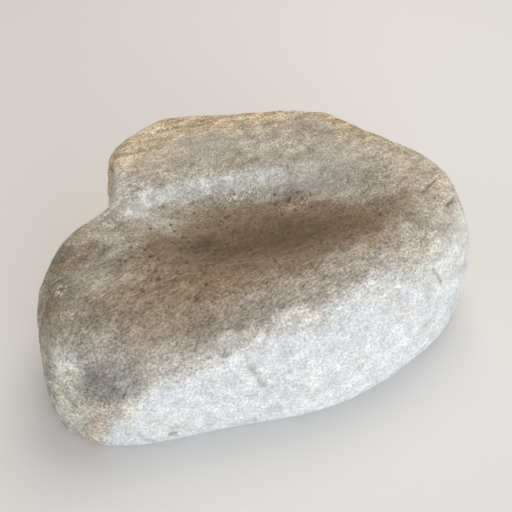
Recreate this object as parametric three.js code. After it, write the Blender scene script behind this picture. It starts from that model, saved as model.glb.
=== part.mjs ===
// A saddle quern: one boulder of coarse sandstone, laid on a flattened underside, with a long
// oval dish ground deep into its top. The near side is a broad face that leans out to the
// ground, the far side is steep, and a bite is missing from the rim at the far left.
//
// The stone is lofted through three closed curves, the foot, the belly and the rim, which share
// one list of stations. The top runs in from the rim to the hub, over the dish.
//
// Millimetres, +Z up. The origin is under the middle of the stone, on the ground. X runs along
// the stone from its left end to its right end, and -Y is the near side.

import * as THREE from "three";

// Overall size, before the swells.
const LENGTH = 500;
const WIDTH = 370;
const HEIGHT = 162;

// The dish: the place of its deepest line, its reach from there to each side and how it lies.
const DISH_X = 2;
const DISH_Y = 20;
const DISH_LEFT_REACH = 158;
const DISH_RIGHT_REACH = 190;
const DISH_NEAR_REACH = 134;
const DISH_FAR_REACH = 34;
const DISH_DEPTH = 31;
const DISH_TURN = THREE.MathUtils.degToRad(-12);

// How the dish meets the top: 1 is a sharp edge, and more is softer.
const DISH_EDGE_SOFTNESS = 1.6;

// Roundness of the side: 2 is an ellipse, and more is squarer.
const SHOULDER_POWER = 2.1;
const UNDERCUT_POWER = 2.2;

// Broad hollows and swells left by the weather and by the dressing of the stone.
const SWELL = 2.6;
const SWELL_SPACING = 105;

// Mesh fineness.
const STEPS_PER_STATION = 6;
const UNDERCUT_STEPS = 3;
const SIDE_STEPS = 9;
const TOP_STEPS = 20;

// Stations of the outline, anticlockwise from the right end. x and y place the belly, the
// stone's widest line, as shares of the length and width, and belly and rim are its height
// there and the rim's, as shares of the height. shoulder and foot are how far the rim and
// the foot stand in from the belly, in millimetres.
const STATIONS = [
  { x: 0.498, y: -0.15, belly: 0.45, rim: 0.93, shoulder: 34, foot: 16 }, // right end
  { x: 0.48, y: 0.045, belly: 0.47, rim: 0.95, shoulder: 28, foot: 22 },
  { x: 0.4, y: 0.212, belly: 0.47, rim: 0.95, shoulder: 24, foot: 22 },
  { x: 0.298, y: 0.39, belly: 0.47, rim: 0.96, shoulder: 22, foot: 22 }, // far right corner
  { x: 0.1, y: 0.455, belly: 0.47, rim: 0.98, shoulder: 22, foot: 22 },
  { x: -0.1, y: 0.493, belly: 0.47, rim: 1.0, shoulder: 20, foot: 22 }, // far left corner
  { x: -0.173, y: 0.462, belly: 0.47, rim: 0.99, shoulder: 20, foot: 22 },
  { x: -0.24, y: 0.415, belly: 0.47, rim: 0.98, shoulder: 22, foot: 20 },
  { x: -0.27, y: 0.29, belly: 0.5, rim: 0.96, shoulder: 20, foot: 12 },
  { x: -0.306, y: 0.17, belly: 0.5, rim: 0.93, shoulder: 22, foot: 6 }, // bite
  { x: -0.396, y: 0.09, belly: 0.47, rim: 0.92, shoulder: 26, foot: 12 },
  { x: -0.466, y: -0.018, belly: 0.46, rim: 0.91, shoulder: 32, foot: 14 },
  { x: -0.497, y: -0.17, belly: 0.4, rim: 0.9, shoulder: 48, foot: 12 }, // left end
  { x: -0.486, y: -0.32, belly: 0.3, rim: 0.89, shoulder: 76, foot: 8 },
  { x: -0.375, y: -0.425, belly: 0.24, rim: 0.9, shoulder: 104, foot: 8 }, // near left corner
  { x: -0.19, y: -0.463, belly: 0.2, rim: 0.94, shoulder: 92, foot: 8 },
  { x: 0.06, y: -0.5, belly: 0.19, rim: 0.96, shoulder: 80, foot: 8 }, // near side
  { x: 0.25, y: -0.45, belly: 0.21, rim: 0.97, shoulder: 74, foot: 10 },
  { x: 0.42, y: -0.335, belly: 0.3, rim: 0.95, shoulder: 58, foot: 14 },
];

// The hub, which the rings of the top and of the underside close in on, and the top's height there.
const HUB = new THREE.Vector3(0.03 * LENGTH, 0.01 * WIDTH, 0);
const HUB_HEIGHT = 0.98 * HEIGHT;

// A station's belly point, in millimetres.
function bellyPoint(station) {
  return new THREE.Vector3(station.x * LENGTH, station.y * WIDTH, station.belly * HEIGHT);
}

// The point that stands in from a station's belly by inset, towards the hub, at the given height.
function insetPoint(station, inset, height) {
  const point = bellyPoint(station).setZ(0);
  const inward = HUB.clone().sub(point).setLength(inset);
  return point.add(inward).setZ(height);
}

function closedCurve(points) {
  return new THREE.CatmullRomCurve3(points, true, "centripetal");
}

const belly = closedCurve(STATIONS.map(bellyPoint));
const rim = closedCurve(STATIONS.map((s) => insetPoint(s, s.shoulder, s.rim * HEIGHT)));
const foot = closedCurve(STATIONS.map((s) => insetPoint(s, s.foot, 0)));

// A quarter of a superellipse from outer to inner: turn 0 is at outer, where it runs upright,
// and turn 1 at inner, where it runs level.
function quarterRound(outer, inner, turn, power) {
  const angle = (turn * Math.PI) / 2;
  const out = Math.cos(angle) ** (2 / power);
  const rise = Math.sin(angle) ** (2 / power);
  return new THREE.Vector3(
    inner.x + (outer.x - inner.x) * out,
    inner.y + (outer.y - inner.y) * out,
    outer.z + (inner.z - outer.z) * rise,
  );
}

// How far the dish lies below the worn top at a place: level at its deepest line and at its edge.
function dishDepth(x, y) {
  const along = (x - DISH_X) * Math.cos(DISH_TURN) + (y - DISH_Y) * Math.sin(DISH_TURN);
  const across = (y - DISH_Y) * Math.cos(DISH_TURN) - (x - DISH_X) * Math.sin(DISH_TURN);
  const alongShare = along / (along > 0 ? DISH_RIGHT_REACH : DISH_LEFT_REACH);
  const acrossShare = across / (across > 0 ? DISH_FAR_REACH : DISH_NEAR_REACH);
  const reached = Math.min(1, alongShare ** 2 + acrossShare ** 2);
  return DISH_DEPTH * (1 - reached) ** DISH_EDGE_SOFTNESS;
}

// The worn top: share 1 is the rim, and 0 the hub.
function topPoint(rimPoint, share) {
  const point = HUB.clone().lerp(rimPoint, share);
  const bed = THREE.MathUtils.lerp(HUB_HEIGHT, rimPoint.z, share ** 2);
  const fade = 1 - share ** 8;
  return point.setZ(bed - dishDepth(point.x, point.y) * fade);
}

// How far the rough stone swells out at a place: three crossed waves, each turned from the last.
function swell({ x, y, z }) {
  const wave = (2 * Math.PI) / SWELL_SPACING;
  const first = Math.sin(wave * (x + 0.4 * y + 0.7 * z));
  const second = Math.sin(wave * (0.8 * y - 0.5 * x + 0.9 * z) + 1.3);
  const third = Math.sin(wave * (1.3 * z + 0.6 * x - 0.7 * y) + 2.1);
  return (SWELL * (first + second + third)) / 3;
}

// The side swells away from the hub, and less towards the foot, which stays flat on the ground.
function roughSide(point) {
  const outward = point.clone().sub(HUB).setZ(0).normalize();
  const share = Math.min(1, (2 * point.z) / HEIGHT);
  return point.addScaledVector(outward, swell(point) * share);
}

// Every ring of the stone from the ground up and in over the top, each a list of points.
function makeRings() {
  const around = STATIONS.length * STEPS_PER_STATION;
  const places = Array.from({ length: around }, (_, i) => i / around);
  const ring = (make) => places.map(make);
  const undercut = (turn) => (u) =>
    roughSide(quarterRound(belly.getPoint(u), foot.getPoint(u), turn, UNDERCUT_POWER));
  const side = (turn) => (u) =>
    roughSide(quarterRound(belly.getPoint(u), rim.getPoint(u), turn, SHOULDER_POWER));
  const top = (share) => (u) => topPoint(roughSide(rim.getPoint(u)), share);

  const rings = [];
  for (let i = 0; i < UNDERCUT_STEPS; i++) rings.push(ring(undercut(1 - i / UNDERCUT_STEPS)));
  for (let i = 0; i < SIDE_STEPS; i++) rings.push(ring(side(i / SIDE_STEPS)));
  for (let i = 0; i < TOP_STEPS; i++) rings.push(ring(top(1 - i / TOP_STEPS)));
  return rings;
}

// One closed surface over the rings, with a fan over the underside and one over the hub.
function skin(rings, bottom, top) {
  const around = rings[0].length;
  const points = [...rings.flat(), bottom, top];
  const bottomIndex = points.length - 2;
  const topIndex = points.length - 1;
  const last = (rings.length - 1) * around;
  const faces = [];
  for (let i = 0; i < around; i++) {
    const next = (i + 1) % around;
    faces.push(bottomIndex, next, i);
    faces.push(topIndex, last + i, last + next);
    for (let row = 0; row < last; row += around) {
      faces.push(row + i, row + next, row + around + next);
      faces.push(row + i, row + around + next, row + around + i);
    }
  }
  const geometry = new THREE.BufferGeometry().setFromPoints(points);
  geometry.setIndex(faces);
  return geometry;
}

// Moves the geometry so that the origin is under its middle, on the ground.
function centreOnGround(geometry) {
  geometry.computeBoundingBox();
  const box = geometry.boundingBox;
  const middle = box.getCenter(new THREE.Vector3());
  return geometry.translate(-middle.x, -middle.y, -box.min.z);
}

function makeStone() {
  const top = topPoint(HUB, 0);
  const geometry = centreOnGround(skin(makeRings(), HUB, top));
  geometry.computeVertexNormals();
  const sandstone = new THREE.MeshStandardMaterial({ color: 0xb3a691, roughness: 0.92, metalness: 0 });
  const stone = new THREE.Mesh(geometry, sandstone);
  stone.name = "quern_stone";
  return stone;
}

const quern = new THREE.Group();
quern.add(makeStone());

export default quern;
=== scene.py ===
"""A saddle quern: one boulder of coarse sandstone with a long grinding dish worn into its top.

Metres, +Z up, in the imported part's own frame: X runs along the stone and -Y is its near side.
The relief and the places of marks are worked out in millimetres. Each zone of the surface is a
number from 0 to 1 at every point of the mesh, which the material reads by the zone's name.
"""

import math

import bmesh
import bpy
import numpy as np
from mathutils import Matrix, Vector


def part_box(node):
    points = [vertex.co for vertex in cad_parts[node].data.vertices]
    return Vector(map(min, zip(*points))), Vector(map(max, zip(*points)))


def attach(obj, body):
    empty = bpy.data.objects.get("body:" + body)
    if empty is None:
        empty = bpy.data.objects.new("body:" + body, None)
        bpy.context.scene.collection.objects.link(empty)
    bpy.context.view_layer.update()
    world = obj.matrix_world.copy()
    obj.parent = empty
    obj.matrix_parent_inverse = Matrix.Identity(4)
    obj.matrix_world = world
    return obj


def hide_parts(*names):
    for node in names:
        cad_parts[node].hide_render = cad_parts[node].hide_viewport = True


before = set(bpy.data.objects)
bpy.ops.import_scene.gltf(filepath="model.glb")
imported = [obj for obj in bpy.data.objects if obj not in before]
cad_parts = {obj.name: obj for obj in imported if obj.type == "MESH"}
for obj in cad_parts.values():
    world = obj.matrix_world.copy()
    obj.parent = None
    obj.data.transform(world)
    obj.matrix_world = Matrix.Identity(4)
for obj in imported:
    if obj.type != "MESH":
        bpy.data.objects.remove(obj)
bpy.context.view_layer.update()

MM = 0.001
NODE = "quern_stone"

# Fineness of the stone's mesh, how many times the facets of the solid are eased first, and how
# many times the relief is eased to find the level that hollows and proud grains are told from.
GRID = 2.1 * MM
EASING_STEPS = 14
LEVELLING_STEPS = 12

# The photograph's view of the stone.
VIEW_AZIMUTH = math.radians(-20)
VIEW_ELEVATION = math.radians(45)
VIEW_DISTANCE = 0.917
VIEW_TARGET = Vector((0.005, -0.0145, 0.085))
VIEW_ANGLE = math.radians(35)

# The direction, seen from above, in which the stone was rubbed and its grain is drawn out.
GRAIN_TURN = math.radians(22)

# The upper edge of the pale near face: its height at places along X.
PALE_EDGE_X = (-260, -215, -190, -148, -105, 3, 97, 130, 165, 190, 260)
PALE_EDGE_Z = (-60, -10, 56, 93, 100, 124, 137, 132, 134, 142, 136)

# The crest and the foot of the dish's far wall, seen from above.
CREST_X = (-200, -150, -112, -96, -47, -14, 31, 73, 113, 141, 162, 220)
CREST_Y = (-30, 4, 34, 50, 60, 55, 45, 30, 10, -14, -43, -95)
FOOT_X = (-200, -104, -65, -20, 13, 41, 63, 97, 118, 146, 220)
FOOT_Y = (-50, 16, 38, 38, 31, 20, 3, -29, -58, -80, -135)

# The middle of the pale band along that wall, seen from above, and half of its width at its
# left and right ends. The band is partly paler stone and partly a painted highlight, where the
# wall faces the window.
PALE_LIT_BAND_X = (-125, -98, -73, -36, 8, 52, 120)
PALE_LIT_BAND_Y = (34, 52, 53, 50, 44, 37, 14)
PALE_LIT_BAND_LEFT = 12
PALE_LIT_BAND_RIGHT = 8

# Ovals seen from above: the middle's X and Y, the turn in degrees, and half the length and width.
DISH_OVAL = (3, -42, 4, 172, 84)
DEEP_OVAL = (6, -45, -4, 134, 48)
TAN_LEFT_OVAL = (-135, -98, 6, 140, 56)
TAN_RIGHT_OVAL = (116, -64, 18, 84, 36)
TAN_NEAR_OVAL = (15, -128, 2, 150, 26)
# The cream right end: cream stone, painted lighter where its rim turns away from the lamps.
CREAM_AND_LIGHT_OVAL = (205, -28, -60, 105, 62)

# The ashen patch on the left end: its centre and its reach.
ASH_CENTRE = (-238, -116, 78)
ASH_REACH = (34, 46, 62)

# Soft spots where a zone is stronger: each one's centre, its reach and its strength.
SPOTS = {
    "worn": [
        ((-150, -112, 138), (76, 40, 44), 0.42),
        ((42, -102, 155), (56, 20, 24), 0.5),
        ((102, -101, 156), (46, 24, 24), 0.8),
    ],
    "tan": [
        ((-199, -14, 147), (60, 44, 50), 1.0),
        ((104, -84, 152), (50, 34, 40), 0.9),
        ((-222, -56, 130), (44, 56, 56), 0.9),
    ],
    "rust": [
        ((-128, -92, 146), (70, 26, 30), 1.0),
        ((-50, -97, 150), (90, 20, 30), 1.0),
        ((110, -60, 148), (70, 26, 30), 0.5),
    ],
    # The dish's darkest spot: darker stone with painted shade.
    "dark_bottom_and_shade": [((-56, -32, 139), (34, 20, 24), 1.0)],
    "pitted": [((-56, -50, 140), (120, 70, 60), 0.4)],
    # Painted cool shade at the foot of the far wall.
    "wall_foot_shade": [((-92, 12, 142), (60, 36, 40), 0.9)],
    # The pale band and pale patches: paler stone, partly with a painted highlight.
    "pale_lit_band": [
        ((11, 38, 142), (48, 14, 18), 0.45),
        ((-130, 66, 152), (48, 66, 60), 0.5),
        ((-114, 42, 147), (22, 14, 14), 0.7),
        ((-92, 54, 147), (24, 13, 14), 0.7),
        ((-57, 47, 141), (24, 11, 14), 0.6),
        ((-106, 30, 144), (22, 12, 14), 0.5),
        ((-88, 20, 141), (36, 28, 24), 0.45),
        ((-229, -109, 112), (26, 26, 26), 0.6),
    ],
    # Pale grains painted bright as glints: painted highlights.
    "grain_glint": [
        ((6, 35, 137), (44, 11, 18), 1.6),
        ((-213, -49, 144), (14, 14, 14), 1.0),
        ((60, 2, 136), (44, 14, 24), 0.6),
    ],
    "cortex": [((-88, 114, 158), (84, 46, 34), 0.4)],
    "combed": [
        ((-150, -84, 135), (150, 86, 80), 1.0),
        ((30, -128, 145), (180, 46, 50), 1.0),
    ],
    "dusk": [
        ((-191, -136, 100), (46, 35, 46), 1.3),
        ((-204, -6, 146), (44, 36, 48), 0.6),
    ],
    "grey": [((-200, -118, 108), (84, 62, 84), 1.0)],
    "ash": [((-244, -86, 102), (34, 36, 50), 0.9)],
    # Cream stone at the near right corner, painted lighter as well.
    "cream_and_light": [((172, -128, 126), (70, 50, 60), 0.9)],
    "even": [
        ((95, 25, 150), (110, 60, 60), 1.0),
        ((-165, -60, 148), (90, 70, 50), 1.0),
        ((-20, 105, 158), (130, 50, 40), 1.0),
    ],
    # Patches where the stone is darker.
    "darker_patch": [
        ((150, -18, 150), (50, 44, 34), 0.55),
        ((-91, -136, 131), (48, 32, 34), 0.5),
        ((-175, -142, 102), (42, 28, 38), 0.62),
        ((-224, -130, 80), (24, 26, 32), 0.4),
        ((-209, -40, 145), (32, 40, 34), 0.32),
        ((-36, -136, 138), (46, 24, 28), 0.34),
        ((107, 22, 153), (44, 20, 26), 0.24),
        ((-30, 80, 159), (48, 24, 24), 0.3),
        ((18, 66, 158), (44, 20, 24), 0.26),
        ((30, -140, 143), (70, 22, 32), 0.12),
        ((142, -134, 129), (36, 26, 34), 0.26),
        ((-156, -25, 151), (46, 34, 34), 0.72),
        ((124, -118, 150), (50, 26, 34), 0.2),
        ((185, -86, 150), (48, 50, 40), 0.36),
        ((152, 11, 156), (44, 26, 34), 0.2),
        ((-75, 61, 153), (30, 16, 20), 0.2),
        ((-207, -57, 144), (28, 24, 26), 0.5),
        ((-186, -90, 143), (28, 24, 26), 0.34),
        ((-158, -106, 142), (32, 18, 24), 0.28),
    ],
}

# Soft spots where a zone is weaker, in the same way.
SPARED = {
    "worn": [((-92, 14, 142), (36, 34, 30), 0.45)],
    "deep": [((-24, -28, 135), (36, 22, 24), 0.4)],
    "tan": [
        ((-60, -123, 143), (40, 20, 24), 0.5),
        ((34, -126, 153), (34, 18, 20), 0.6),
    ],
    "wall_foot_shade": [((-92, 22, 141), (34, 30, 26), 0.6)],
    "pale_lit_band": [((-18, 56, 155), (64, 14, 16), 0.3)],
}

# Cracks and scratches: each one's two ends, half width and depth. They wander to the sides by
# about CRACK_WANDER, and are darkest where they are CRACK_DARKEST deep.
CRACKS = [
    (((186, -49, 153), (214, -30, 152)), 3.2, 3.0),
    (((202, -74, 150), (222, -60, 146)), 2.8, 2.0),
    (((-219, -37, 143), (-206, -38, 146)), 2.6, 2.0),
    (((158, -131, 126), (172, -140, 100)), 4.6, 1.3),
    (((-60, -163, 100), (-40, -176, 62)), 6.0, 1.2),
]
CRACK_WANDER = 1.5
CRACK_DARKEST = 2.5

# The relief, in millimetres: how far each kind stands out or is cut in, and its spacing.
SWELL_HEIGHT = 1.6
SWELL_SPACING = 70
RIDGE_HEIGHT = 0.8
RIDGE_SPACING = 22
GRAIN_HEIGHT = 0.55
GRAIN_SPACING = 7
DRESSING_HEIGHT = 1.2
DRESSING_SPACING = 34
CHIP_DEPTH = 3.0
CHIP_SPACING = 24
LEDGE_HEIGHT = 0.9
LEDGE_SPACING = 9

# Round holes in the open stone and pits in the dish: depth, spacing, radius, and the share of
# the places that have one. The dish has more of them in its pitted spot.
HOLE_DEPTH = 0.9
HOLE_SPACING = 11
HOLE_RADIUS = 4.2
HOLE_SHARE = 0.4
PIT_DEPTH = 1.5
PIT_SPACING = 8.5
PIT_RADIUS = 3.4
PIT_SHARE = 0.27

# The relief fades out between these heights above the ground, and what is then lower than
# GROUND_LEVEL lies flat on the ground.
RELIEF_ENDS = 1
RELIEF_STARTS = 9
GROUND_LEVEL = 0.6

# How far the relief is from its level where a hollow or a proud grain begins to show, and where
# it shows fully.
SHOWS_FROM = 0.05
SHOWS_FULLY = 0.8

# The lights: azimuth and elevation in degrees, distance, size, power in watts and colour.
LIGHTS = {
    "window": (6, 7, 2.4, (2.0, 0.6), 58, (0.90, 0.95, 1.0)),
    "doorway": (-104, 14, 2.0, (0.8, 1.2), 3.2, (1.0, 0.97, 0.92)),
    "ceiling": (140, 62, 1.8, (1.2, 1.2), 15, (1.0, 0.93, 0.84)),
}
ROOM_SHADE = (1.0, 0.96, 0.91)
ROOM_STRENGTH = 0.44
FLOOR_HALF = 20.0
FLOOR_SHADE = (0.8, 0.8, 0.8)
FLOOR_ROUGHNESS = 0.9

# Seeded random numbers for the noise, and places and numbers for what is scattered.
RANDOM = np.random.default_rng(11)
LATTICE = RANDOM.uniform(-1, 1, (64, 64, 64))
SEEDS = RANDOM.random((32, 32, 32, 3))


# Numbers that vary over the stone


def ramp(value, low, high):
    """0 below low, 1 above high and smooth between them."""
    share = np.clip((value - low) / (high - low), 0, 1)
    return share * share * (3 - 2 * share)


def noise(points, spacing, shift=0.0):
    """Smooth noise from -1 to 1, with bumps about spacing apart."""
    place = points / spacing + shift
    cell = np.floor(place).astype(int)
    part = place - cell
    part = part * part * (3 - 2 * part)
    total = np.zeros(len(points))
    for corner in np.ndindex(2, 2, 2):
        weight = np.prod(np.where(corner, part, 1 - part), axis=1)
        x, y, z = ((cell + corner) % len(LATTICE)).T
        total += weight * LATTICE[x, y, z]
    return total


def rough(points, spacing, octaves, shift=0.0):
    """Noise with finer and weaker noise on it: each octave has half the spacing and height."""
    total = np.zeros(len(points))
    for octave in range(octaves):
        total += noise(points, spacing / 2**octave, shift + 7.3 * octave) / 2**octave
    return total


def nearest_seed(points, spacing, shift=0.0):
    """The distance to the nearest of many scattered seeds, in spacings, and its random number."""
    place = points / spacing + shift
    cell = np.floor(place).astype(int)
    nearest = np.full(len(points), np.inf)
    number = np.zeros(len(points))
    for step in np.ndindex(3, 3, 3):
        neighbour = cell + step - 1
        x, y, z = (neighbour % len(SEEDS)).T
        distance = np.linalg.norm(neighbour + SEEDS[x, y, z] - place, axis=1)
        closer = distance < nearest
        nearest = np.where(closer, distance, nearest)
        number = np.where(closer, SEEDS[y, z, x, 0], number)
    return nearest, number


def pits(points, spacing, radius, share, shift=0.0):
    """1 in the middle of scattered round pits, which a share of the seeds have, and 0 elsewhere."""
    distance, number = nearest_seed(points, spacing, shift)
    return ramp(radius - distance * spacing, 0, radius) * (number < share)


def distance_in_reaches(points, centre, reach):
    """How far points are from a centre: 1 at its reach along X, Y and Z."""
    return np.linalg.norm((points - centre) / reach, axis=1)


def spot(points, centre, reach):
    """1 at a centre, fading to 0 at its reach."""
    return ramp(1 - distance_in_reaches(points, centre, reach), 0, 1)


def groove(points, ends, width):
    """1 along the line between two ends, fading to 0 at width from it and towards the ends."""
    start, end = np.array(ends, float)
    along = np.clip((points - start) @ (end - start) / np.sum((end - start) ** 2), 0, 1)
    away = np.linalg.norm(points - start - along[:, None] * (end - start), axis=1)
    return ramp(1 - away / width, 0, 1) * ramp(0.5 - abs(along - 0.5), -0.05, 0.2)


def along_grain(points, stretch):
    """The points turned to the grain and drawn in along it, which stretches noise made on them."""
    x, y, z = points.T
    along = x * math.cos(GRAIN_TURN) + y * math.sin(GRAIN_TURN)
    across = y * math.cos(GRAIN_TURN) - x * math.sin(GRAIN_TURN)
    return np.column_stack([along / stretch, across, z])


# The stone's mesh


def fine_mesh(node):
    """A copy of the node's surface in small, even faces."""
    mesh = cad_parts[node].data.copy()
    shell = bmesh.new()
    shell.from_mesh(mesh)
    bmesh.ops.remove_doubles(shell, verts=shell.verts, dist=0.01 * MM)
    shell.to_mesh(mesh)
    shell.free()
    copy = bpy.data.objects.new("fine", mesh)
    bpy.context.scene.collection.objects.link(copy)
    remesh = copy.modifiers.new("even faces", "REMESH")
    remesh.mode = "VOXEL"
    remesh.voxel_size = GRID
    fine = bpy.data.meshes.new_from_object(copy.evaluated_get(bpy.context.evaluated_depsgraph_get()))
    bpy.data.objects.remove(copy)
    return fine


def read_vectors(mesh, kind):
    """The mesh's points or normals, one row for each point."""
    values = np.zeros(3 * len(mesh.vertices), np.float32)
    mesh.vertices.foreach_get(kind, values)
    return values.reshape(-1, 3).astype(float)


def write_points(mesh, points):
    """Moves the mesh's points to places in millimetres."""
    mesh.vertices.foreach_set("co", (points * MM).astype(np.float32).ravel())
    mesh.update()


def neighbours_mean(mesh):
    """A function that gives the mean of a value over each point's neighbours."""
    edges = np.zeros(2 * len(mesh.edges), np.int32)
    mesh.edges.foreach_get("vertices", edges)
    a, b = edges.reshape(-1, 2).T
    size = len(mesh.vertices)
    count = np.bincount(a, minlength=size) + np.bincount(b, minlength=size)

    def mean(values):
        return (np.bincount(a, values[b], size) + np.bincount(b, values[a], size)) / count

    return mean


def eased(columns, mean, steps):
    """Columns of values that are drawn halfway to their neighbours' mean, some number of times."""
    for _ in range(steps):
        columns = [0.5 * column + 0.5 * mean(column) for column in columns]
    return columns


def edge_margin(points):
    """How far a point stands in from the stone's outline, seen from above."""
    angle = np.arctan2(points[:, 1], points[:, 0])
    reach = np.hypot(points[:, 0], points[:, 1])
    bins = np.linspace(-math.pi, math.pi, 181)
    outline = [reach[(angle >= low) & (angle < high)].max() for low, high in zip(bins, bins[1:])]
    middles = (bins[1:] + bins[:-1]) / 2
    return np.interp(angle, middles, outline, period=2 * math.pi) - reach


# Zones of the surface, each from 0 to 1


class Skin:
    """The eased stone's surface, with what its zones are worked out from."""

    def __init__(self, points, normals):
        self.points = points
        self.x, self.y, self.z = points.T
        self.out_x, self.out_y, self.up = normals.T
        self.blur = rough(points, 60, 4, 3.1)
        self.streak = rough(along_grain(points, 3), 14, 3, 9.4)
        self.in_dish = self.oval(*DISH_OVAL)
        self.climb = self.wall_climb() + 0.18 * self.blur + 0.16 * self.streak

    def oval(self, middle_x, middle_y, turn, half_length, half_width):
        """0 in the middle of an oval seen from above, and 1 at its edge."""
        turn = math.radians(turn)
        x, y = self.x - middle_x, self.y - middle_y
        along = x * math.cos(turn) + y * math.sin(turn)
        across = y * math.cos(turn) - x * math.sin(turn)
        return np.hypot(along / half_length, across / half_width)

    def wall_climb(self):
        """How far up the dish's far wall a point is: 0 at the wall's foot and 1 at its crest."""
        crest = np.interp(self.x, CREST_X, CREST_Y)
        foot = np.interp(self.x, FOOT_X, FOOT_Y)
        return (self.y - foot) / (crest - foot)

    def spots(self, places):
        """Each spot's strength at every point, one row for each spot."""
        return [strength * spot(self.points, centre, reach) for centre, reach, strength in places]

    def strongest(self, zone):
        """The strongest of a zone's spots at every point."""
        return np.max(self.spots(SPOTS[zone]), axis=0)

    def total(self, zone):
        """A zone's spots, added up."""
        return np.sum(self.spots(SPOTS[zone]), axis=0)

    def spared(self, zone):
        """What the zone's weaker spots leave of it: 1 away from them."""
        return np.prod(1 - np.array(self.spots(SPARED[zone])), axis=0)


def dish_zones(skin):
    """The dish: its worn floor, the part rubbed smooth, the deepest part with painted shade, its darkest
    spot with painted shade, and pits.
    """
    in_dish, climb, blur, streak = skin.in_dish, skin.climb, skin.blur, skin.streak
    worn = ramp(1.15 - in_dish + 0.12 * blur + 0.06 * streak, 0, 0.5) * ramp(0.75 - climb, 0, 1)
    worn = np.maximum(worn, skin.strongest("worn")) * skin.spared("worn")
    smooth = ramp(0.98 - in_dish + 0.1 * blur, 0, 0.4) * ramp(0.3 - climb, 0, 0.8)
    # The deepest part: darker worn stone, and painted shade that grows towards the foot of the far wall.
    below_wall = ramp(0.4 - climb, 0, 1.1)
    deep = ramp(1.1 - skin.oval(*DEEP_OVAL) + 0.15 * blur + 0.05 * streak, 0, 0.8) * below_wall
    # The darkest spot at the dish's bottom: darker stone with painted shade.
    dark_bottom_and_shade = skin.total("dark_bottom_and_shade") * ramp(streak, -1.2, 0.4)
    pit = pits(skin.points, PIT_SPACING, PIT_RADIUS, PIT_SHARE + skin.total("pitted"), 5.5)
    pit = pit * ramp(1.15 - in_dish, 0, 0.3) * ramp(0.8 - climb, 0, 0.6)
    return {"worn": worn, "smooth": smooth, "deep": deep * skin.spared("deep"), "dark_bottom_and_shade": dark_bottom_and_shade, "pit": pit}


def wall_zones(skin):
    """The dish's far wall: its grey face, its foot in painted cool shade, its pale band with a painted
    highlight, and pale grains painted as glints.
    """
    x, climb = skin.x, skin.climb
    wall = ramp(climb - 0.35 * ramp(x, 20, 80), -0.5, 0.7) * ramp(1.9 - climb, 0, 0.8)
    wall = wall * ramp(x, -150, -100) * ramp(175 - x, 0, 60)
    # Painted cool shade: the grey-green the wall's foot takes in the shadow of the near rim.
    wall_foot_shade = ramp(climb, -1.3, -0.1) * ramp(0.7 - climb, 0, 0.6)
    wall_foot_shade = wall_foot_shade * ramp(x, -135, -90) * ramp(90 - x, 0, 110)
    wall_foot_shade = np.clip(wall_foot_shade + skin.total("wall_foot_shade"), 0, 1) * skin.spared("wall_foot_shade")

    # The pale band: partly paler stone, partly a painted highlight where the wall faces the window.
    middle = np.interp(x, PALE_LIT_BAND_X, PALE_LIT_BAND_Y) + 2 * skin.streak + 2 * skin.blur
    half_width = PALE_LIT_BAND_RIGHT + (PALE_LIT_BAND_LEFT - PALE_LIT_BAND_RIGHT) * ramp(-x, 60, 110)
    band = ramp(1 - abs(skin.y - middle) / half_width, 0, 0.8)
    band = band * ramp(x, -138, -106) * ramp(130 - x, 0, 130)
    pale_lit_band = np.clip((band + skin.total("pale_lit_band")) * skin.spared("pale_lit_band"), 0, 1)
    # Pale grains along the wall, painted bright as glints.
    grain_glint = np.clip(skin.total("grain_glint"), 0, 1)
    return {"wall": wall, "wall_foot_shade": wall_foot_shade, "pale_lit_band": pale_lit_band, "grain_glint": grain_glint}


def brown_zones(skin):
    """The tan and rusty stone around the dish."""
    blur, streak = skin.blur, skin.streak
    left = ramp(1.1 - skin.oval(*TAN_LEFT_OVAL) + 0.2 * blur + 0.1 * streak, 0, 0.7)
    right = ramp(1.1 - skin.oval(*TAN_RIGHT_OVAL) + 0.2 * blur, 0, 0.7)
    near = 0.42 * ramp(1.1 - skin.oval(*TAN_NEAR_OVAL) + 0.2 * blur + 0.12 * streak, 0, 0.6)
    tan = np.max([left, right, near, skin.strongest("tan")], axis=0) * skin.spared("tan")
    rust = np.clip(skin.total("rust"), 0, 1) * ramp(blur + streak, -1.2, 0.5)
    return {"tan": tan, "rust": rust}


def rind_zones(skin):
    """The yellow rind, with its bedding, along the far edge and down the far side."""
    y, blur, streak = skin.y, skin.blur, skin.streak
    far = ramp(y + 0.2 * skin.x + 12 * blur, 55, 110)
    edge = far * ramp(14 * blur + 9 * streak - edge_margin(skin.points), -62, -26)
    side = ramp(y + 10 * blur, 30, 90) * ramp(0.6 - skin.up, 0, 0.3) * ramp(skin.z + 26 * blur, -10, 110)
    side = side * ramp(blur + 0.5 * streak, -1.1, 0.5)
    return {"cortex": np.max([edge, side, skin.strongest("cortex")], axis=0)}


def near_zones(skin):
    """The pale near face, the grey fringe above it and the stone that is combed by rubbing. The near face,
    turned to the window, is partly paler stone and partly painted cool window light.
    """
    # Only the side turned to the window is painted pale: partly paler stone, partly painted light.
    facing = ramp(0.35 * skin.out_x - 0.93 * skin.out_y, 0.05, 0.4)
    edge = np.interp(skin.x + 8 * skin.streak, PALE_EDGE_X, PALE_EDGE_Z)
    pale = facing * ramp(edge - skin.z + 8 * skin.blur + 9 * skin.streak, -22, 18)
    fringe = facing * (1 - pale) * ramp(170 - skin.x, 0, 80) * ramp(skin.z, 50, 90)
    return {"pale": pale, "fringe": fringe, "combed": skin.strongest("combed")}


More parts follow.
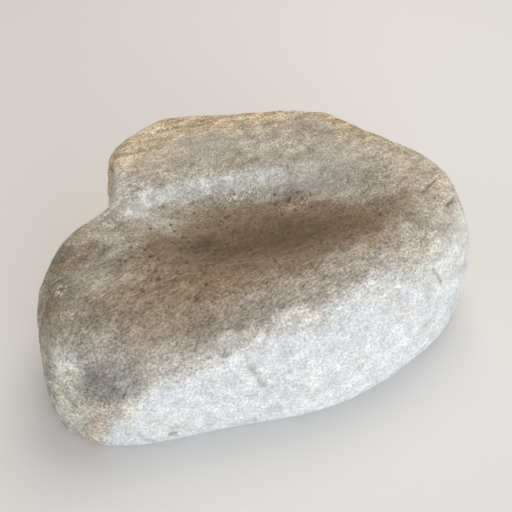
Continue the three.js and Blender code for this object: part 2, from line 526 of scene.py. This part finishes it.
def end_zones(skin):
    """The grey, dusky and ashen left end, and the cream right end, painted lighter where its rim turns
    away from the lamps.
    """
    blur = skin.blur
    dusk = np.clip(skin.total("dusk"), 0, 1) * ramp(blur, -0.9, 0.4)
    ash = ramp(1.25 - distance_in_reaches(skin.points, ASH_CENTRE, ASH_REACH), 0, 0.6)
    ash = np.maximum(ash, skin.strongest("ash")) * ramp(blur, -1.3, 0)
    cream_and_light = ramp(1.2 - skin.oval(*CREAM_AND_LIGHT_OVAL) + 0.2 * blur + 0.15 * skin.streak, 0, 0.5)
    cream_and_light = np.maximum(cream_and_light, skin.strongest("cream_and_light"))
    return {"dusk": dusk, "grey": skin.total("grey"), "ash": ash, "cream_and_light": cream_and_light}


def tone_zones(skin):
    """Where the stone's tone is more even, and where it is darker in patches."""
    darker_patch = np.clip(skin.total("darker_patch"), 0, 1) * ramp(skin.blur + skin.streak, -2.0, 0.2)
    return {"even": skin.strongest("even"), "darker_patch": darker_patch}


def zones_of(skin):
    zones = {}
    for part in (dish_zones, wall_zones, brown_zones, rind_zones, near_zones, end_zones, tone_zones):
        zones.update(part(skin))
    return zones


# The relief


def cracks_in(points):
    """How deep the cracks and scratches are cut in at each point."""
    wander = np.column_stack([rough(points, 9, 2, shift) for shift in (1.3, 4.9, 8.1)])
    place = points + CRACK_WANDER * wander
    return np.max([depth * groove(place, ends, width) for ends, width, depth in CRACKS], axis=0)


def ledges(skin):
    """Bedding ledges, from -1 to 1: long layers that dip towards the far side."""
    layers = np.column_stack([skin.x / 7, skin.y / 7, skin.z + 0.45 * skin.y])
    return np.tanh(2.2 * rough(layers, LEDGE_SPACING, 3, 2.2))


def relief_of(skin, zones):
    """How far each point stands out from the solid's surface, or in where it is below 0."""
    points = skin.points
    drawn = along_grain(points, 2.2)
    unworn = 1 - zones["worn"]
    kept = 0.25 + 0.75 * unworn
    calm = 1 - 0.5 * zones["pale"]
    side = 1 - ramp(skin.up, 0.3, 0.8)
    at_foot = ramp(60 - skin.z, 0, 50)
    off_top = 1 - 0.5 * ramp(skin.up, 0.6, 0.9)

    height = SWELL_HEIGHT * rough(points, SWELL_SPACING, 2) * kept
    height += RIDGE_HEIGHT * rough(drawn, RIDGE_SPACING, 3, 1.7) * kept * calm
    height += GRAIN_HEIGHT * rough(drawn, GRAIN_SPACING, 2, 4.4) * kept * calm
    height += DRESSING_HEIGHT * rough(points, DRESSING_SPACING, 3, 6.1) * side
    height += LEDGE_HEIGHT * ledges(skin) * zones["cortex"] * off_top
    height -= CHIP_DEPTH * ramp(rough(points, CHIP_SPACING, 3, 8.3), 0.25, 1.1) * side * at_foot
    height -= HOLE_DEPTH * pits(points, HOLE_SPACING, HOLE_RADIUS, HOLE_SHARE) * unworn * calm
    height -= PIT_DEPTH * zones["pit"]
    return height - cracks_in(points)


def keep_inside(points, normals, height, low, high):
    """Flattens what stands proud so that it stays within the box from low to high."""
    room = np.where(normals > 0, high - points, points - low) / np.maximum(abs(normals), 1e-3)
    room = np.maximum(room.min(axis=1), 0.01)
    return np.where(height > 0, room * (1 - np.exp(-height / room)), height)


def join_level_faces(mesh):
    """Joins the small faces that lie flat on the ground into one."""
    shell = bmesh.new()
    shell.from_mesh(mesh)
    level = {face for face in shell.faces if all(v.co.z < 0.01 * MM for v in face.verts)}
    inner = [edge for edge in shell.edges if all(face in level for face in edge.link_faces)]
    bmesh.ops.dissolve_edges(shell, edges=inner, use_verts=True)
    shell.to_mesh(mesh)
    shell.free()


def write_zones(mesh, zones):
    """Keeps each zone on the mesh, where the material finds it by its name."""
    for name, values in zones.items():
        layer = mesh.attributes.new(name, "FLOAT", "POINT")
        layer.data.foreach_set("value", values.astype(np.float32))


def make_stone():
    mesh = fine_mesh(NODE)
    mean = neighbours_mean(mesh)
    low, high = (np.array(corner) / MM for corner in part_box(NODE))
    points = np.column_stack(eased(list((read_vectors(mesh, "co") / MM).T), mean, EASING_STEPS))
    write_points(mesh, np.clip(points, low, high))
    normals = read_vectors(mesh, "normal")
    skin = Skin(points, normals)
    zones = zones_of(skin)

    height = relief_of(skin, zones) * ramp(skin.z, RELIEF_ENDS, RELIEF_STARTS)
    height = keep_inside(points, normals, height, low, high)
    points = points + normals * height[:, None]
    points[points[:, 2] < GROUND_LEVEL, 2] = 0
    write_points(mesh, np.clip(points, low, high))

    level = eased([height], mean, LEVELLING_STEPS)[0]
    zones["crack"] = np.clip(cracks_in(points) / CRACK_DARKEST, 0, 1)
    zones["hollow"] = ramp(level - height, SHOWS_FROM, SHOWS_FULLY)
    zones["proud"] = ramp(height - level, SHOWS_FROM, SHOWS_FULLY)
    write_zones(mesh, zones)

    join_level_faces(mesh)
    mesh.shade_smooth()
    stone = bpy.data.objects.new("worn_quern_stone", mesh)
    bpy.context.scene.collection.objects.link(stone)
    return stone


# The sandstone


def colour(red, green, blue):
    return (red, green, blue, 1.0)


# The stone's colours, from its fresh face to its stains, with painted light and shade among them.
STONE_LIGHT = colour(0.67, 0.63, 0.575)
STONE_DARK = colour(0.55, 0.505, 0.45)
# Cream stone, painted lighter where the right end turns away from the lamps.
CREAM_AND_LIGHT = colour(0.70, 0.65, 0.565)
# The near face: paler stone, with the cool window light painted in as a bluish tint.
PALE_FACE_COOL_LIT = colour(0.68, 0.71, 0.75)
PALE_WARM = colour(0.765, 0.76, 0.715)
YELLOW_RIND = colour(0.95, 0.85, 0.65)
BROWN_RIND = colour(0.62, 0.48, 0.31)
ORANGE_RIND = colour(0.80, 0.64, 0.42)
SEAM = colour(0.26, 0.19, 0.12)
BROWN_DISH = colour(0.27, 0.20, 0.135)
# The deepest part of the dish: darker stone with painted shade.
DEEP_DISH_DARK_AND_SHADE = colour(0.153, 0.113, 0.070)
TAN = colour(0.355, 0.29, 0.22)
RUST = colour(0.385, 0.295, 0.205)
FRINGE = colour(0.41, 0.395, 0.38)
GREY_WALL = colour(0.55, 0.54, 0.49)
# Painted cool shade for the foot of the far wall.
WALL_FOOT_SHADE = colour(0.45, 0.42, 0.34)
DUSKY = colour(0.20, 0.195, 0.19)
# The dish's darkest spot: darker stone with painted shade.
DARK_BOTTOM_AND_SHADE = colour(0.085, 0.07, 0.05)
GREY_END = colour(0.43, 0.43, 0.42)
ASHEN = colour(0.56, 0.58, 0.55)
ASHEN_WARM = colour(0.60, 0.57, 0.49)
# The pale band's colour: paler stone with a painted cool highlight.
PALE_LIT_BAND_COLOUR = colour(0.89, 0.93, 0.96)
GRAIN_LIGHT = colour(0.76, 0.71, 0.60)
# Pale grains painted as glints: a painted highlight.
GRAIN_GLINT = colour(0.97, 0.94, 0.80)
SPECK = colour(0.25, 0.25, 0.25)
DIRT = colour(0.12, 0.09, 0.06)

# Tones that the colour is multiplied by. Where there are two, it varies from one to the other.
DARKER_PATCH_TONE = colour(0.42, 0.40, 0.38)
GAP_TONE = colour(0.5, 0.46, 0.42)
MOTTLE_TONES = (colour(0.86, 0.85, 0.83), colour(1.16, 1.16, 1.16))
STRIPE_TONES = (colour(0.84, 0.82, 0.79), colour(1.16, 1.16, 1.15))
SAND_TONES = (colour(0.46, 0.43, 0.40), colour(1.58, 1.58, 1.57))
COMB_TONES = (colour(0.72, 0.70, 0.67), colour(1.28, 1.29, 1.30))

# Zones where the tone varies less, and how much less.
CALM = {"pale": 0.42, "smooth": 0.38, "even": 0.34, "pale_lit_band": 0.4, "combed": 0.22}

# Noises: how many bumps there are in a metre, the octaves of finer bumps and their strength.
CLOUDS = (14, 4, 0.55)
FACE_CLOUDS = (26, 4, 0.55)
PATCHES = (55, 5, 0.55)
CLUMPS = (105, 4, 0.62)
STREAKS = (110, 4, 0.55)
BEDDING = (190, 4, 0.65)
BLOTS = (210, 3, 0.6)
SCATTER = (300, 4, 0.8)
FLECKS = (300, 3, 0.7)
CLODS = (380, 4, 0.85)
DRAWN_GRAINS = (540, 4, 0.8)
COMBED_GRAINS = (560, 3, 0.7)
SPECKS = (820, 2, 0.5)
FINE_GRAINS = (1100, 2, 0.6)

# How many sand grains there are in a metre, and the height of the finest relief.
SAND_GRAINS = 470
BUMP_HEIGHT = 0.8 * MM


class Nodes:
    """Short ways to add and link a material's nodes."""

    def __init__(self, material):
        material.use_nodes = True
        self.tree = material.node_tree
        self.shader = self.tree.nodes["Principled BSDF"]

    def add(self, kind, inputs=(), **values):
        node = self.tree.nodes.new(kind)
        for name, value in values.items():
            setattr(node, name, value)
        for name, value in dict(inputs).items():
            self.put(node.inputs[name], value)
        return node

    def put(self, socket, value):
        if isinstance(value, bpy.types.NodeSocket):
            self.tree.links.new(value, socket)
        else:
            socket.default_value = value

    def math(self, operation, a, b=0.0):
        return self.add("ShaderNodeMath", {0: a, 1: b}, operation=operation).outputs[0]

    def zone(self, name, strength=1.0):
        values = self.add("ShaderNodeAttribute", attribute_name=name).outputs["Fac"]
        return self.math("MULTIPLY", values, strength)

    def steps(self, value, low, high, start=0.0, end=1.0):
        """Runs from start at low to end at high, and stays level beyond them."""
        inputs = {"Value": value, "From Min": low, "From Max": high, "To Min": start, "To Max": end}
        return self.add("ShaderNodeMapRange", inputs).outputs["Result"]

    def mapped(self, place, **values):
        """The place turned or scaled."""
        return self.add("ShaderNodeMapping", {"Vector": place, **values}).outputs[0]

    def noise(self, place, kind):
        scale, detail, roughness = kind
        inputs = {"Vector": place, "Scale": scale, "Detail": detail, "Roughness": roughness}
        return self.add("ShaderNodeTexNoise", inputs).outputs["Fac"]

    def mix(self, share, a, b, blend="MIX"):
        node = self.add("ShaderNodeMix", data_type="RGBA", blend_type=blend)
        self.put(node.inputs["Factor"], share)
        self.put(node.inputs[6], a)
        self.put(node.inputs[7], b)
        return node.outputs[2]


class Grain:
    """The stone's grain: patterns over its surface, from patches and beds to single grains."""

    def __init__(self, n):
        self.nodes = n
        self.place = n.add("ShaderNodeTexCoord").outputs["Object"]
        turned = n.mapped(self.place, Rotation=(0, 0, -GRAIN_TURN))
        drawn = n.mapped(turned, Scale=(0.5, 1, 1))
        combed = n.mapped(turned, Scale=(0.14, 1, 1))
        layers = n.mapped(self.place, Scale=(0.13, 0.8, 1))

        self.patches = n.noise(self.place, PATCHES)
        self.streaks = n.noise(drawn, STREAKS)
        self.scatter = n.noise(self.place, SCATTER)
        self.fine = n.noise(self.place, FINE_GRAINS)
        self.drawn = n.steps(n.noise(drawn, DRAWN_GRAINS), 0.41, 0.59)
        self.combed = n.steps(n.noise(combed, COMBED_GRAINS), 0.40, 0.60)

        sand = n.add("ShaderNodeTexVoronoi", {"Vector": self.place, "Scale": SAND_GRAINS}).outputs["Color"]
        clods = n.steps(n.noise(self.place, CLODS), 0.41, 0.59)
        self.sand = n.math("ADD", n.math("MULTIPLY", sand, 0.42), n.math("MULTIPLY", clods, 0.58))

        bedding = n.noise(layers, BEDDING)
        self.beds = n.steps(bedding, 0.41, 0.53)
        self.seams = n.steps(n.math("ABSOLUTE", n.math("SUBTRACT", bedding, 0.47)), 0.004, 0.022, 1, 0)

    def scattered(self, name, strength):
        """A zone with an edge that breaks up into grains."""
        n = self.nodes
        shift = n.math("MULTIPLY", n.math("SUBTRACT", self.scatter, 0.5), 0.8)
        return n.steps(n.math("ADD", n.zone(name), shift), 0.1, 0.9, 0, strength)


class Paint:
    """A colour that is built up in layers."""

    def __init__(self, n, first):
        self.nodes = n
        self.colour = first

    def lay(self, share, shade):
        """Lays a share of a shade over the colour."""
        self.colour = self.nodes.mix(share, self.colour, shade)

    def tone(self, share, tone):
        """Multiplies a share of the colour by a tone."""
        toned = self.nodes.mix(1.0, self.colour, tone, "MULTIPLY")
        self.colour = self.nodes.mix(share, self.colour, toned)


def lay_zones(n, grain, paint):
    """The colours of the zones, one over the other."""
    banded = n.mix(grain.beds, BROWN_RIND, YELLOW_RIND)
    rind = n.mix(n.steps(grain.patches, 0.52, 0.62), banded, ORANGE_RIND)
    ashen = n.mix(n.steps(grain.patches, 0.45, 0.6), ASHEN, ASHEN_WARM)
    face = n.steps(n.noise(grain.place, FACE_CLOUDS), 0.48, 0.66, 0, 0.5)
    face = n.mix(face, PALE_FACE_COOL_LIT, PALE_WARM)
    clumps = n.steps(n.noise(grain.place, CLUMPS), 0.49, 0.58)

    # Cream stone at the right end, with painted light where its rim turns from the lamps.
    paint.lay(grain.scattered("cream_and_light", 0.8), CREAM_AND_LIGHT)
    paint.lay(grain.scattered("fringe", 0.62), FRINGE)
    paint.lay(grain.scattered("tan", 0.84), TAN)
    paint.lay(grain.scattered("worn", 0.9), BROWN_DISH)
    # Painted shade in the deepest part of the dish, over darker stone.
    paint.lay(n.zone("deep", 0.82), DEEP_DISH_DARK_AND_SHADE)
    paint.lay(grain.scattered("rust", 0.7), RUST)
    paint.lay(n.zone("cortex", 0.8), rind)
    paint.lay(n.math("MULTIPLY", n.zone("cortex", 0.8), grain.seams), SEAM)
    # Painted cool shade at the foot of the far wall.
    paint.lay(n.zone("wall_foot_shade", 0.5), WALL_FOOT_SHADE)
    paint.lay(grain.scattered("wall", 0.75), GREY_WALL)
    # Painted shade at the dish's darkest spot, over darker stone.
    paint.lay(n.zone("dark_bottom_and_shade", 0.6), DARK_BOTTOM_AND_SHADE)
    paint.lay(n.zone("grey", 0.6), GREY_END)
    paint.lay(grain.scattered("ash", 0.95), ashen)
    paint.lay(grain.scattered("dusk", 0.8), DUSKY)
    # The near face, turned to the window: paler stone with painted cool window light.
    paint.lay(grain.scattered("pale", 0.95), n.mix(n.zone("cream_and_light", 0.7), face, PALE_WARM))
    # The pale band: paler stone with a painted cool highlight where the far wall faces the window.
    paint.lay(n.zone("pale_lit_band", 0.42), PALE_LIT_BAND_COLOUR)
    paint.lay(n.math("MULTIPLY", n.zone("pale_lit_band"), clumps), PALE_LIT_BAND_COLOUR)
    # Darker in patches.
    paint.tone(n.zone("darker_patch"), DARKER_PATCH_TONE)


def vary_tone(n, grain, paint):
    """Mottles, stripes and grains of other tones, weaker in the calm zones."""
    calm = 0.0
    for name, strength in CALM.items():
        calm = n.math("MAXIMUM", calm, n.zone(name, strength))
    lively = n.math("SUBTRACT", 1.0, calm)
    paint.tone(lively, n.mix(n.steps(grain.patches, 0.35, 0.65), *MOTTLE_TONES))
    paint.tone(lively, n.mix(n.steps(grain.streaks, 0.35, 0.65), *STRIPE_TONES))
    paint.tone(lively, n.mix(grain.sand, *SAND_TONES))
    paint.tone(n.zone("combed"), n.mix(grain.combed, *COMB_TONES))
    paint.tone(n.math("MULTIPLY", n.steps(grain.drawn, 0.0, 0.35, 0.75, 0), lively), GAP_TONE)


def lay_marks(n, grain, paint):
    """Dirt in the pits and cracks, darker hollows of the relief, and single light and dark grains, some of
    them painted glints.
    """
    blots = n.steps(n.noise(grain.place, BLOTS), 0.59, 0.63, 0, 0.8)
    flecks = n.steps(n.noise(grain.place, FLECKS), 0.54, 0.58)
    specks = n.steps(n.noise(grain.place, SPECKS), 0.60, 0.68, 0, 0.3)
    paint.lay(n.math("MULTIPLY", n.zone("smooth"), blots), DIRT)
    # Darker in the hollows of the relief.
    paint.lay(n.zone("hollow", 0.45), DIRT)
    paint.lay(n.zone("pit"), DIRT)
    paint.lay(n.zone("crack", 0.55), DIRT)
    paint.lay(n.zone("proud", 0.3), GRAIN_LIGHT)
    # Painted glints on pale grains along the far wall.
    paint.lay(n.math("MULTIPLY", n.zone("grain_glint"), flecks), GRAIN_GLINT)
    paint.lay(n.math("MULTIPLY", n.zone("pale"), specks), SPECK)


def grain_bump(n, grain):
    """The grain's own relief, half as high where the stone is worn."""
    height = n.math("ADD", n.math("MULTIPLY", grain.sand, 0.6), n.math("MULTIPLY", grain.drawn, 0.8))
    height = n.math("ADD", height, grain.fine)
    height = n.math("MULTIPLY", height, n.steps(n.zone("worn"), 0, 1, 1.0, 0.5))
    bump = n.add("ShaderNodeBump", {"Height": height, "Strength": 0.8, "Distance": BUMP_HEIGHT})
    return bump.outputs["Normal"]


def sandstone():
    material = bpy.data.materials.new("sandstone")
    n = Nodes(material)
    grain = Grain(n)
    clouds = n.steps(n.noise(grain.place, CLOUDS), 0.35, 0.65)
    paint = Paint(n, n.mix(clouds, STONE_DARK, STONE_LIGHT))
    lay_zones(n, grain, paint)
    vary_tone(n, grain, paint)
    lay_marks(n, grain, paint)
    n.put(n.shader.inputs["Base Color"], paint.colour)
    n.put(n.shader.inputs["Roughness"], 0.92)
    n.put(n.shader.inputs["Specular IOR Level"], 0.25)
    n.put(n.shader.inputs["Normal"], grain_bump(n, grain))
    return material


# The room


def plain(name, shade, roughness):
    material = bpy.data.materials.new(name)
    n = Nodes(material)
    n.put(n.shader.inputs["Base Color"], colour(*shade))
    n.put(n.shader.inputs["Roughness"], roughness)
    return material


def aim(thing, azimuth, elevation, distance):
    """Puts a camera or light at a distance from the stone, looking at it: azimuth 0 is the near side."""
    level = math.cos(elevation)
    away = Vector((math.sin(azimuth) * level, -math.cos(azimuth) * level, math.sin(elevation)))
    thing.location = VIEW_TARGET + away * distance
    thing.rotation_euler = away.to_track_quat("Z", "Y").to_euler()


def add_light(name, azimuth, elevation, distance, size, power, shade):
    light = bpy.data.lights.new(name, "AREA")
    light.shape = "RECTANGLE"
    light.size, light.size_y = size
    light.energy = power
    light.color = shade
    lamp = bpy.data.objects.new(name, light)
    bpy.context.scene.collection.objects.link(lamp)
    aim(lamp, math.radians(azimuth), math.radians(elevation), distance)


def add_floor():
    mesh = bpy.data.meshes.new("floor")
    corners = [(FLOOR_HALF * x, FLOOR_HALF * y, 0) for x, y in ((-1, -1), (1, -1), (1, 1), (-1, 1))]
    mesh.from_pydata(corners, [], [(0, 1, 2, 3)])
    mesh.materials.append(plain("pale_floor", FLOOR_SHADE, FLOOR_ROUGHNESS))
    floor = bpy.data.objects.new("floor", mesh)
    bpy.context.scene.collection.objects.link(floor)


def add_camera():
    camera = bpy.data.objects.new("camera", bpy.data.cameras.new("camera"))
    camera.data.angle = VIEW_ANGLE
    bpy.context.scene.collection.objects.link(camera)
    aim(camera, VIEW_AZIMUTH, VIEW_ELEVATION, VIEW_DISTANCE)
    bpy.context.scene.camera = camera


def light_room():
    world = bpy.data.worlds.new("room")
    world.use_nodes = True
    background = world.node_tree.nodes["Background"]
    background.inputs["Color"].default_value = colour(*ROOM_SHADE)
    background.inputs["Strength"].default_value = ROOM_STRENGTH
    bpy.context.scene.world = world
    bpy.context.scene.view_settings.view_transform = "Standard"
    for name, values in LIGHTS.items():
        add_light(name, *values)


add_camera()
light_room()
add_floor()

stone = make_stone()
stone.data.materials.clear()
stone.data.materials.append(sandstone())
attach(stone, "root")
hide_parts(NODE)
